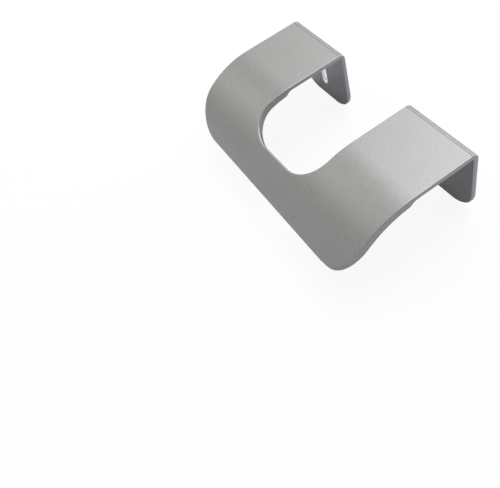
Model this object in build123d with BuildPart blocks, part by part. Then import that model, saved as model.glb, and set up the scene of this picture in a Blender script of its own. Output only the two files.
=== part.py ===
from build123d import *
from math import asin, cos, pi, radians, sin
import os

# A cabinet handle of the edge-pull kind, made as one piece of aluminium, in millimetres.
# It hooks over the top edge of a door: two flanges go down behind the door, two flat legs
# lie on the door's edge, and a curved lip comes down in front of it for the fingers.
# The origin is midway between the two fixing slots, level with the faces that meet the
# back of the door. +X runs along the handle, -Y points out of the door's front, +Z is up.

# Walls, and the door that the handle hooks over
length = 90.0
door_gap = 20.8
plate = 1.6
lip_thickness = 2.9

# Flanges behind the door, bent down from the legs
flange_height = 27.7
flange_corner = 8.4
bend_inside = 0.6

# Lip: the legs run on flat for a little in front of the door, then curve down.
# The underside steps out to the lip's thickness along the first part of the curve.
flat_lead = 1.0
lip_radius = 29.4
lip_sweep = 66.7
step_run = 3.1

# Opening between the legs, which ends part of the way down the lip
opening_width = 33.6
opening_sweep = 38.2
opening_corner = 10.7

# The opening and the front edge are cut along one direction that leans forwards
cut_lean = 15.0
front_corner = 12.3

# Fixing slots, one upright slot in the middle of each flange
slot_length = 13.7
slot_width = 3.2

# Fine line across each leg where the bend begins
line_width = 0.3
line_depth = 0.12

# The outer edges are rounded, the inner ones are broken, and the slots' rims a little less
edge_round = 0.4
edge_break = 0.3
rim_break = 0.1

# Levels and places that the sizes above give
bend_outside = bend_inside + plate
top = (flange_height + bend_outside) / 2
rear = plate
underside = top - plate
flange_bottom = top - flange_height
bend_start = rear - bend_outside
lip_start = -door_gap - flat_lead
lip_centre = top - lip_radius
lip_inner_radius = lip_radius - lip_thickness
leg_width = (length - opening_width) / 2
leg_x = (length - leg_width) / 2
past_all = 2 * length

# Turns of the section round the lip's centre, from where the legs end
tip_turn = radians(lip_sweep)
opening_turn = radians(opening_sweep)
step_turn = asin((step_run - flat_lead) / lip_inner_radius)


def on_arc(radius, turn):
    """Point of the lip's section, on a circle about its centre, at a turn from the legs."""
    return (lip_start - radius * sin(turn), lip_centre + radius * cos(turn))


def is_sharp(edge, faces):
    """True where the two faces beside an edge meet at an angle."""
    sides = [face.normal_at(edge @ 0.5) for face in faces if edge in face.edges()]
    return len(sides) == 2 and sides[0].get_angle(sides[1]) > 2


# The leaning plane that the outline is drawn on passes through the top of the rear face.
# A point of the lip's skin lies this far in front of that face, measured on the plane.
lean = radians(cut_lean)
outline_plane = Plane(
    origin=(0, rear, top), x_dir=(1, 0, 0), z_dir=(0, -sin(lean), cos(lean))
)
front_reach = -outline_plane.to_local_coords(Vector(0, *on_arc(lip_radius, tip_turn))).Y
opening_reach = -outline_plane.to_local_coords(Vector(0, *on_arc(lip_radius, opening_turn))).Y

with BuildPart() as handle:
    # Section of the whole handle in one closed outline: flange, bend, leg and lip
    with BuildSketch(Plane.YZ):
        with BuildLine():
            flange_back = Line((rear, flange_bottom), (rear, top - bend_outside))
            bend_back = JernArc(flange_back @ 1, (0, 1), bend_outside, 90)
            leg_top = Line(bend_back @ 1, (lip_start, top))
            lip_skin = JernArc(leg_top @ 1, (-1, 0), lip_radius, 90)
            lip_end = Line(lip_skin @ 1, on_arc(lip_inner_radius, pi / 2))
            lip_under = ThreePointArc(
                lip_end @ 1,
                on_arc(lip_inner_radius, (pi / 2 + step_turn) / 2),
                on_arc(lip_inner_radius, step_turn),
            )
            step = Spline(
                lip_under @ 1,
                (-door_gap, underside),
                tangents=((cos(step_turn), sin(step_turn)), (1, 0)),
            )
            leg_under = Line(step @ 1, (-bend_inside, underside))
            bend_front = JernArc(leg_under @ 1, (1, 0), bend_inside, -90)
            flange_front = Line(bend_front @ 1, (0, flange_bottom))
            flange_end = Line(flange_front @ 1, flange_back @ 0)
        make_face()
    extrude(amount=length / 2, both=True)

    # Front edge, with its two round corners
    with BuildSketch(outline_plane):
        Rectangle(length, 2 * front_reach)
        fillet(vertices().group_by(Axis.Y)[0], radius=front_corner)
    extrude(amount=past_all, both=True, mode=Mode.INTERSECT)

    # Opening between the legs, open at the rear
    with BuildSketch(outline_plane):
        Rectangle(opening_width, 2 * opening_reach)
        fillet(vertices().group_by(Axis.Y)[0], radius=opening_corner)
    extrude(amount=past_all, both=True, mode=Mode.SUBTRACT)

    # Lower corners of the flanges
    fillet(edges().filter_by(Axis.Y).group_by(Axis.Z)[0], radius=flange_corner)

    # The outer edges run smoothly into one loop, so rounding the front edge rounds them all
    lip_face = faces().filter_by(GeomType.CYLINDER).sort_by(SortBy.AREA)[-1]
    fillet(lip_face.edges().sort_by(Axis.Y)[0], radius=edge_round)

    # Small chamfer on every edge that is still sharp
    chamfer([edge for edge in edges() if is_sharp(edge, faces())], length=edge_break)

    # Fixing slots, through the flanges, with their rims chamfered
    with BuildSketch(Plane.XZ):
        with Locations((-leg_x, 0), (leg_x, 0)):
            SlotOverall(slot_length, slot_width, rotation=90)
    extrude(amount=2 * plate, both=True, mode=Mode.SUBTRACT)
    slot_edges = edges(Select.LAST).group_by(Axis.Y)
    chamfer(slot_edges[0] + slot_edges[-1], length=rim_break)

    # Fine line across each leg, ending at the rounded edges
    with BuildSketch(Plane.XY.offset(top)):
        with Locations((-leg_x, bend_start), (leg_x, bend_start)):
            Rectangle(leg_width - 2 * edge_round, line_width)
    extrude(amount=-line_depth, mode=Mode.SUBTRACT)

handle.part.label = "handle"
os.makedirs("parts", exist_ok=True)
export_step(handle.part, "parts/handle.step")
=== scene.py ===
from math import cos, pi, radians, sin

import bpy
from bpy.props import FloatProperty, FloatVectorProperty, PointerProperty
from mathutils import Matrix, Vector


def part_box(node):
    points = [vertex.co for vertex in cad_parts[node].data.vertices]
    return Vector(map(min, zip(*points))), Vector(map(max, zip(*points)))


bl_info = {
    "name": "Edge-pull cabinet handle",
    "version": (1, 0, 0),
    "blender": (4, 5, 0),
    "location": "3D View > Sidebar > Handle",
    "description": "Gives an edge-pull cabinet handle its blasted aluminium finish and stages it",
    "category": "Material",
}

# The handle comes finished in shape and at its real size, so places are worked out from its
# box. The high corner holds its end along X, the rear of its flanges along Y and the tops of
# its legs along Z.
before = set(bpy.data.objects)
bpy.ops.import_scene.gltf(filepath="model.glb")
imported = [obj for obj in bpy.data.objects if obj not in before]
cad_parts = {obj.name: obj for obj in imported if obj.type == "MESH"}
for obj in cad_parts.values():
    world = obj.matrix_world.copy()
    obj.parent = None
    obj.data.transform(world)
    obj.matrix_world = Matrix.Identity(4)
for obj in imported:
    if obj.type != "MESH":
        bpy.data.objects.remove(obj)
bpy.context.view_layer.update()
HANDLE = "handle"
LOW_CORNER, HIGH_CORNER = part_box(HANDLE)
MIDDLE = (LOW_CORNER + HIGH_CORNER) / 2
HANDLE_END, FLANGE_REAR, LEG_TOP = HIGH_CORNER

# Details that both legs have, in metres. A fixing slot goes through each flange, level with
# the origin, and a fine line runs across the top of each leg.
LEG_WIDTH = 0.0282
SLOT_WIDTH = 0.0032
SLOT_LENGTH = 0.0137
LINE_PLACE = -0.0006

# How far the box round a slot stands off its walls, and how far the metal beside and below a
# line gets no painted edge highlight, in metres
MARGIN = 0.0002
UNHIGHLIT_REACH = 0.0008
UNHIGHLIT_DEPTH = 0.00035

# Boxes round those details: the middle of the right-hand one, and how far it reaches from
# there along each axis
LEG_MIDDLE = HANDLE_END - LEG_WIDTH / 2
SLOT_BOX = (
    (LEG_MIDDLE, FLANGE_REAR / 2, 0.0),
    (SLOT_WIDTH / 2 + MARGIN, FLANGE_REAR / 2 + MARGIN, SLOT_LENGTH / 2 + MARGIN),
)
LINE_BOX = (
    (LEG_MIDDLE, LINE_PLACE, LEG_TOP),
    (LEG_WIDTH / 2 - MARGIN, UNHIGHLIT_REACH, UNHIGHLIT_DEPTH),
)

# How far the metal's colour and roughness go either side of their middles, and how fine the
# pits and the clouds are drawn
COLOUR_SPREAD = 0.16
ROUGHNESS_SPREAD = 0.12
NOISE_MIDDLE = 0.5
GRAIN_DETAIL = 1.0
CLOUD_DETAIL = 3.0

# Share of the space behind the surface that is solid metal, where the painted edge highlight
# starts and where it is full, and the number of rays that look for it
EDGE_HIGHLIGHT_STARTS = 0.9
EDGE_HIGHLIGHT_FULL = 0.6
EDGE_HIGHLIGHT_RAYS = 8

# How far a slot's wall faces along the handle, where its painted highlight starts and where it is full
SLOT_HIGHLIGHT_STARTS = 0.3
SLOT_HIGHLIGHT_FULL = 0.75

WHITE = (1.0, 1.0, 1.0, 1.0)


# Sizes and colours that a user would change

class HandleFinish(bpy.types.PropertyGroup):
    """Colour and surface of the handle's metal."""

    colour: FloatVectorProperty(
        name="Metal colour",
        description="Colour of the anodised aluminium",
        subtype="COLOR",
        size=3,
        min=0.0,
        max=1.0,
        default=(0.300, 0.297, 0.288),
    )
    roughness: FloatProperty(
        name="Roughness",
        description="How far the blasted surface spreads what it reflects",
        subtype="FACTOR",
        min=0.0,
        max=1.0,
        default=0.5,
    )
    grain_size: FloatProperty(
        name="Grain size",
        description="Width of one pit that the blasting leaves",
        subtype="DISTANCE",
        unit="LENGTH",
        default=0.0006,
    )
    grain_depth: FloatProperty(
        name="Grain depth",
        description="Depth of the pits that the blasting leaves",
        subtype="DISTANCE",
        unit="LENGTH",
        default=0.000012,
    )
    grain_contrast: FloatProperty(
        name="Grain contrast",
        description="How much the pits differ in colour and roughness",
        subtype="FACTOR",
        min=0.0,
        max=2.0,
        default=1.2,
    )
    cloud_size: FloatProperty(
        name="Cloud size",
        description="Width of the faint clouds that the anodising leaves",
        subtype="DISTANCE",
        unit="LENGTH",
        default=0.009,
    )
    cloud_contrast: FloatProperty(
        name="Cloud contrast",
        description="How much the clouds differ in colour and roughness",
        subtype="FACTOR",
        min=0.0,
        max=1.0,
        default=0.35,
    )
    # The colour below is a painted highlight along the outer edges, which are also made smoother.
    edge_highlight_colour: FloatVectorProperty(
        name="Edge colour",
        description="Colour of the metal where the blasting has worn the edges brighter",
        subtype="COLOR",
        size=3,
        min=0.0,
        max=1.0,
        default=(0.38, 0.38, 0.37),
    )
    edge_width: FloatProperty(
        name="Edge width",
        description="Width of the brighter metal along the edges",
        subtype="DISTANCE",
        unit="LENGTH",
        default=0.0006,
    )
    edge_roughness: FloatProperty(
        name="Edge roughness",
        description="How far the worn edges spread what they reflect",
        subtype="FACTOR",
        min=0.0,
        max=1.0,
        default=0.3,
    )
    # The colour and roughness below are those of a painted highlight on the long walls of the slots.
    slot_highlight_colour: FloatVectorProperty(
        name="Cut colour",
        description="Colour of the bare metal that the cutters left in the slots",
        subtype="COLOR",
        size=3,
        min=0.0,
        max=1.0,
        default=(0.72, 0.715, 0.7),
    )
    slot_wall_roughness: FloatProperty(
        name="Cut roughness",
        description="How far the bare metal in the slots spreads what it reflects",
        subtype="FACTOR",
        min=0.0,
        max=1.0,
        default=0.4,
    )


class HandleStage(bpy.types.PropertyGroup):
    """Camera, floor and surroundings."""

    camera_place: FloatVectorProperty(
        name="Camera place",
        description="Where the camera stands",
        subtype="XYZ",
        unit="LENGTH",
        size=3,
        default=(0.120944, -0.083505, 0.149142),
    )
    camera_azimuth: FloatProperty(
        name="Camera azimuth",
        description="Turn of the camera round the handle, from its front",
        subtype="ANGLE",
        unit="ROTATION",
        default=radians(73.64),
    )
    camera_elevation: FloatProperty(
        name="Camera elevation",
        description="Height of the camera over the handle, as an angle",
        subtype="ANGLE",
        unit="ROTATION",
        default=radians(50.79),
    )
    camera_roll: FloatProperty(
        name="Camera roll",
        description="Turn of the camera about its own view",
        subtype="ANGLE",
        unit="ROTATION",
        default=radians(-20.80),
    )
    focal_length: FloatProperty(
        name="Focal length",
        description="Focal length, in millimetres",
        subtype="DISTANCE_CAMERA",
        unit="CAMERA",
        default=42.67,
    )
    sensor_width: FloatProperty(
        name="Sensor width",
        description="Width of the camera's sensor, in millimetres",
        subtype="DISTANCE_CAMERA",
        unit="CAMERA",
        default=36.0,
    )
    frame_shift: FloatVectorProperty(
        name="Frame shift",
        description="Shift of the frame to the right and up, as shares of its width",
        size=2,
        default=(-0.03, -0.0948),
    )
    nearest_seen: FloatProperty(
        name="Nearest seen",
        description="Distance from the camera at which things start to be seen",
        subtype="DISTANCE",
        unit="LENGTH",
        default=0.01,
    )
    floor_size: FloatProperty(
        name="Floor size",
        description="Width and depth of the floor",
        subtype="DISTANCE",
        unit="LENGTH",
        default=6.0,
    )
    floor_colour: FloatVectorProperty(
        name="Floor colour",
        description="Colour of the floor",
        subtype="COLOR",
        size=3,
        min=0.0,
        max=1.0,
        default=(0.75, 0.77, 0.83),
    )
    white_to_camera: FloatProperty(
        name="White to camera",
        description="Share of plain white in the background as the camera sees it",
        subtype="FACTOR",
        min=0.0,
        max=1.0,
        default=0.9,
    )
    white_in_reflections: FloatProperty(
        name="White in reflections",
        description="Share of plain white in the background as the metal reflects it",
        subtype="FACTOR",
        min=0.0,
        max=1.0,
        default=0.05,
    )
    surroundings: FloatProperty(
        name="Surroundings",
        description="Brightness of the surroundings that light the handle",
        min=0.0,
        default=0.58,
    )


# Shader helpers

def node(tree, kind, **settings):
    """New node of a kind, with its properties and the values of its named inputs."""
    made = tree.nodes.new(kind)
    for name, setting in settings.items():
        if name in made.inputs:
            made.inputs[name].default_value = setting
        else:
            setattr(made, name, setting)
    return made


def new_material(name):
    """Empty material with its output node: (material, node tree, output node)."""
    material = bpy.data.materials.new(name)
    material.use_nodes = True
    tree = material.node_tree
    tree.nodes.clear()
    return material, tree, tree.nodes.new("ShaderNodeOutputMaterial")


def value(tree, operation, *terms):
    """Output of a new Math node whose terms are numbers or other outputs."""
    made = node(tree, "ShaderNodeMath", operation=operation)
    for entry, term in zip(made.inputs, terms):
        if isinstance(term, bpy.types.NodeSocket):
            tree.links.new(term, entry)
        else:
            entry.default_value = term
    return made.outputs["Value"]


def blended_colour(tree, share, first, second):
    """Output of a new Mix node between two colours, which may be outputs."""
    made = node(tree, "ShaderNodeMix", data_type="RGBA")
    entries = {entry.name: entry for entry in made.inputs if entry.type == "RGBA"}
    tree.links.new(share, made.inputs["Factor"])
    for name, colour in (("A", first), ("B", second)):
        if isinstance(colour, bpy.types.NodeSocket):
            tree.links.new(colour, entries[name])
        else:
            entries[name].default_value = (*colour, 1.0)
    return next(result for result in made.outputs if result.type == "RGBA")


def blended_number(tree, share, first, second):
    """Output of a new Mix node between two numbers, of which the first is an output."""
    made = node(tree, "ShaderNodeMix", data_type="FLOAT")
    tree.links.new(share, made.inputs["Factor"])
    tree.links.new(first, made.inputs["A"])
    made.inputs["B"].default_value = second
    return made.outputs["Result"]


def noise(tree, place, size, detail):
    """Output of a new Noise node whose features are about as wide as a size."""
    made = node(tree, "ShaderNodeTexNoise", Scale=1 / size, Detail=detail)
    tree.links.new(place, made.inputs["Vector"])
    return made.outputs["Fac"]


def rising(tree, term, start, full):
    """Output that goes smoothly from 0 to 1 while a term goes from a start to a full value."""
    made = node(tree, "ShaderNodeMapRange", interpolation_type="SMOOTHSTEP")
    made.inputs["From Min"].default_value = start
    made.inputs["From Max"].default_value = full
    tree.links.new(term, made.inputs["Value"])
    return made.outputs["Result"]


def in_boxes(tree, place, middle, reach):
    """Output that is 1 in a box and in its mirror image on the other leg, and 0 elsewhere."""
    at = node(tree, "ShaderNodeSeparateXYZ")
    tree.links.new(place, at.inputs["Vector"])
    ways = (value(tree, "ABSOLUTE", at.outputs["X"]), at.outputs["Y"], at.outputs["Z"])
    along, through, up = (value(tree, "COMPARE", *terms) for terms in zip(ways, middle, reach))
    return value(tree, "MULTIPLY", value(tree, "MULTIPLY", along, through), up)


# The handle's metal

def edge_highlight_and_smoothing(tree, place, width):
    """Output that is 1 on the outer edges, where little metal lies behind the surface; there a highlight
    is painted and the metal is made smoother.
    """
    solid = node(tree, "ShaderNodeAmbientOcclusion", samples=EDGE_HIGHLIGHT_RAYS, inside=True, only_local=True)
    solid.inputs["Distance"].default_value = width
    near_edge_highlight = rising(tree, solid.outputs["AO"], EDGE_HIGHLIGHT_STARTS, EDGE_HIGHLIGHT_FULL)
    away_from_lines = value(tree, "SUBTRACT", 1.0, in_boxes(tree, place, *LINE_BOX))
    return value(tree, "MULTIPLY", near_edge_highlight, away_from_lines)


def painted_slot_highlight(tree, place):
    """Output that is 1 on the long walls of the two slots, where a highlight is painted, and fades round
    their ends.
    """
    facing = node(tree, "ShaderNodeSeparateXYZ")
    tree.links.new(node(tree, "ShaderNodeNewGeometry").outputs["Normal"], facing.inputs["Vector"])
    wall = rising(tree, value(tree, "ABSOLUTE", facing.outputs["X"]), SLOT_HIGHLIGHT_STARTS, SLOT_HIGHLIGHT_FULL)
    return value(tree, "MULTIPLY", in_boxes(tree, place, *SLOT_BOX), wall)


def blasted_aluminium(finish):
    """Anodised aluminium, blasted with fine grit, with a painted highlight on its smoother edges and a
    painted highlight on the walls of its slots.
    """
    material, tree, output = new_material("blasted_aluminium")
    place = node(tree, "ShaderNodeTexCoord").outputs["Object"]
    grain = noise(tree, place, finish.grain_size, GRAIN_DETAIL)
    cloud = noise(tree, place, finish.cloud_size, CLOUD_DETAIL)
    slot_highlight_share = painted_slot_highlight(tree, place)
    edge_highlight_share = edge_highlight_and_smoothing(tree, place, finish.edge_width)

    # How light each place is, which the clouds and the pits change about a middle
    lightness = NOISE_MIDDLE
    for source, contrast in ((cloud, finish.cloud_contrast), (grain, finish.grain_contrast)):
        change = value(tree, "SUBTRACT", source, NOISE_MIDDLE)
        lightness = value(tree, "MULTIPLY_ADD", change, contrast, lightness)

    dark = [part * (1 - COLOUR_SPREAD) for part in finish.colour]
    light = [part * (1 + COLOUR_SPREAD) for part in finish.colour]
    colour = blended_colour(tree, lightness, dark, light)
    # Painted highlight along the outer edges
    colour = blended_colour(tree, edge_highlight_share, colour, finish.edge_highlight_colour)
    # Painted highlight on the long walls of the slots
    colour = blended_colour(tree, slot_highlight_share, colour, finish.slot_highlight_colour)

    smoothest = finish.roughness - ROUGHNESS_SPREAD / 2
    roughness = value(tree, "MULTIPLY_ADD", lightness, ROUGHNESS_SPREAD, smoothest)
    roughness = blended_number(tree, edge_highlight_share, roughness, finish.edge_roughness)
    roughness = blended_number(tree, slot_highlight_share, roughness, finish.slot_wall_roughness)

    pits = node(tree, "ShaderNodeBump", Strength=1.0, Distance=finish.grain_depth)
    tree.links.new(grain, pits.inputs["Height"])

    shader = node(tree, "ShaderNodeBsdfPrincipled", Metallic=1.0)
    tree.links.new(colour, shader.inputs["Base Color"])
    tree.links.new(roughness, shader.inputs["Roughness"])
    tree.links.new(pits.outputs["Normal"], shader.inputs["Normal"])
    tree.links.new(shader.outputs["BSDF"], output.inputs["Surface"])
    return material


# The background

def whitened(tree, stage, shader, surface):
    """Mix a background's shader with plain white, by the kind of ray that meets it."""
    path = node(tree, "ShaderNodeLightPath")
    mirrored = value(tree, "MAXIMUM", path.outputs["Is Glossy Ray"], path.outputs["Is Transmission Ray"])
    reflected = value(tree, "MULTIPLY", mirrored, stage.white_in_reflections)
    seen = value(tree, "MULTIPLY", path.outputs["Is Camera Ray"], stage.white_to_camera)
    white = node(tree, "ShaderNodeEmission", Strength=1.0)
    white.inputs["Color"].default_value = WHITE
    mix = node(tree, "ShaderNodeMixShader")
    tree.links.new(value(tree, "MAXIMUM", seen, reflected), mix.inputs["Fac"])
    tree.links.new(shader, mix.inputs[1])
    tree.links.new(white.outputs["Emission"], mix.inputs[2])
    tree.links.new(mix.outputs["Shader"], surface)


def pale_floor(stage):
    """Matt pale floor that keeps a light shadow of the handle."""
    material, tree, output = new_material("pale_floor")
    matt = node(tree, "ShaderNodeBsdfDiffuse", Roughness=0.0)
    matt.inputs["Color"].default_value = (*stage.floor_colour, 1.0)
    whitened(tree, stage, matt.outputs["BSDF"], output.inputs["Surface"])
    return material


# Each soft box: its name, the side that it stands on, turned from the handle's front towards
# +X, and its height, both in degrees, its width in metres, its power in watts and its colour.
# All face the middle of the handle from the same distance, in metres.
COOL = (0.94, 0.95, 1.0)
NEUTRAL = (1.0, 1.0, 1.0)
WARM = (1.0, 1.0, 0.94)
SOFT_BOXES = (
    ("rear_high_box", 180, 70, 0.4, 2.7, COOL),
    ("rear_low_box", 180, 12, 0.28, 2.1, COOL),
    ("rear_left_high_box", 210, 50, 0.4, 1.15, COOL),
    ("rear_left_low_box", 210, 30, 0.4, 0.6, COOL),
    ("left_box", 240, 30, 0.4, 0.59, NEUTRAL),
    ("front_left_high_box", 300, 50, 0.4, 0.7, WARM),
    ("front_left_low_box", 300, 30, 0.4, 0.35, WARM),
    ("front_box", 330, 12, 0.28, 0.16, WARM),
)
SOFT_BOX_DISTANCE = 0.8


# Operators

class HANDLE_OT_finish(bpy.types.Operator):
    """Give the handle its blasted aluminium finish"""

    bl_idname = "handle.finish"
    bl_label = "Finish handle"

    def execute(self, context):
        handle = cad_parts[HANDLE]
        material = blasted_aluminium(context.scene.handle_finish)
        handle.data.materials.clear()
        handle.data.materials.append(material)
        return {"FINISHED"}


class HANDLE_OT_stage(bpy.types.Operator):
    """Set up the floor, the lamps, the surroundings and the camera"""

    bl_idname = "handle.stage"
    bl_label = "Set up stage"

    def execute(self, context):
        stage = context.scene.handle_stage
        self.add_floor(context, stage)
        for soft_box in SOFT_BOXES:
            self.add_soft_box(context, *soft_box)
        self.add_camera(context, stage)
        self.set_surroundings(context, stage)
        context.scene.view_settings.view_transform = "Standard"
        return {"FINISHED"}

    def add_floor(self, context, stage):
        """Floor under the lowest point of the handle."""
        half = stage.floor_size / 2
        lowest = LOW_CORNER.z
        corners = ((-half, -half), (half, -half), (half, half), (-half, half))
        mesh = bpy.data.meshes.new("floor")
        mesh.from_pydata([(x, y, lowest) for x, y in corners], [], [(0, 1, 2, 3)])
        mesh.materials.append(pale_floor(stage))
        floor = bpy.data.objects.new("floor", mesh)
        context.scene.collection.objects.link(floor)

    def add_soft_box(self, context, name, side, height, width, power, colour):
        """Square lamp that faces the middle of the handle."""
        light = bpy.data.lights.new(name, "AREA")
        light.shape = "SQUARE"
        light.size = width
        light.energy = power
        light.color = colour
        side, height = radians(side), radians(height)
        away = Vector((sin(side) * cos(height), -cos(side) * cos(height), sin(height)))
        lamp = bpy.data.objects.new(name, light)
        lamp.location = MIDDLE + away * SOFT_BOX_DISTANCE
        lamp.rotation_euler = (-away).to_track_quat("-Z", "Y").to_euler()
        context.scene.collection.objects.link(lamp)

    def add_camera(self, context, stage):
        """Camera at the photograph's viewing angle."""
        data = bpy.data.cameras.new("camera")
        data.sensor_width = stage.sensor_width
        data.lens = stage.focal_length
        data.shift_x, data.shift_y = stage.frame_shift
        data.clip_start = stage.nearest_seen
        camera = bpy.data.objects.new("camera", data)
        camera.matrix_world = (
            Matrix.Translation(stage.camera_place)
            @ Matrix.Rotation(stage.camera_azimuth, 4, "Z")
            @ Matrix.Rotation(pi / 2 - stage.camera_elevation, 4, "X")
            @ Matrix.Rotation(stage.camera_roll, 4, "Z")
        )
        context.scene.collection.objects.link(camera)
        context.scene.camera = camera

    def set_surroundings(self, context, stage):
        """Plain white surroundings."""
        world = bpy.data.worlds.new("surroundings")
        world.use_nodes = True
        tree = world.node_tree
        tree.nodes.clear()
        output = node(tree, "ShaderNodeOutputWorld")
        background = node(tree, "ShaderNodeBackground", Strength=stage.surroundings)
        background.inputs["Color"].default_value = WHITE
        whitened(tree, stage, background.outputs["Background"], output.inputs["Surface"])
        context.scene.world = world


class HANDLE_PT_panel(bpy.types.Panel):
    """Sizes, colours and steps of the handle"""

    bl_idname = "HANDLE_PT_panel"
    bl_label = "Cabinet handle"
    bl_space_type = "VIEW_3D"
    bl_region_type = "UI"
    bl_category = "Handle"

    def draw(self, context):
        for title, group, operator in (
            ("Finish", context.scene.handle_finish, HANDLE_OT_finish),
            ("Stage", context.scene.handle_stage, HANDLE_OT_stage),
        ):
            box = self.layout.box()
            box.label(text=title)
            for name in group.bl_rna.properties.keys():
                if name not in {"rna_type", "name"}:
                    box.prop(group, name)
            box.operator(operator.bl_idname)


CLASSES = (HandleFinish, HandleStage, HANDLE_OT_finish, HANDLE_OT_stage, HANDLE_PT_panel)


def register():
    """Add the classes and their settings to Blender."""
    for cls in CLASSES:
        bpy.utils.register_class(cls)
    bpy.types.Scene.handle_finish = PointerProperty(type=HandleFinish)
    bpy.types.Scene.handle_stage = PointerProperty(type=HandleStage)


def unregister():
    """Take the classes and their settings out of Blender."""
    del bpy.types.Scene.handle_stage
    del bpy.types.Scene.handle_finish
    for cls in reversed(CLASSES):
        bpy.utils.unregister_class(cls)


def main():
    """Finish and stage the handle."""
    register()
    bpy.ops.handle.finish()
    bpy.ops.handle.stage()


if __name__ == "__main__":
    main()
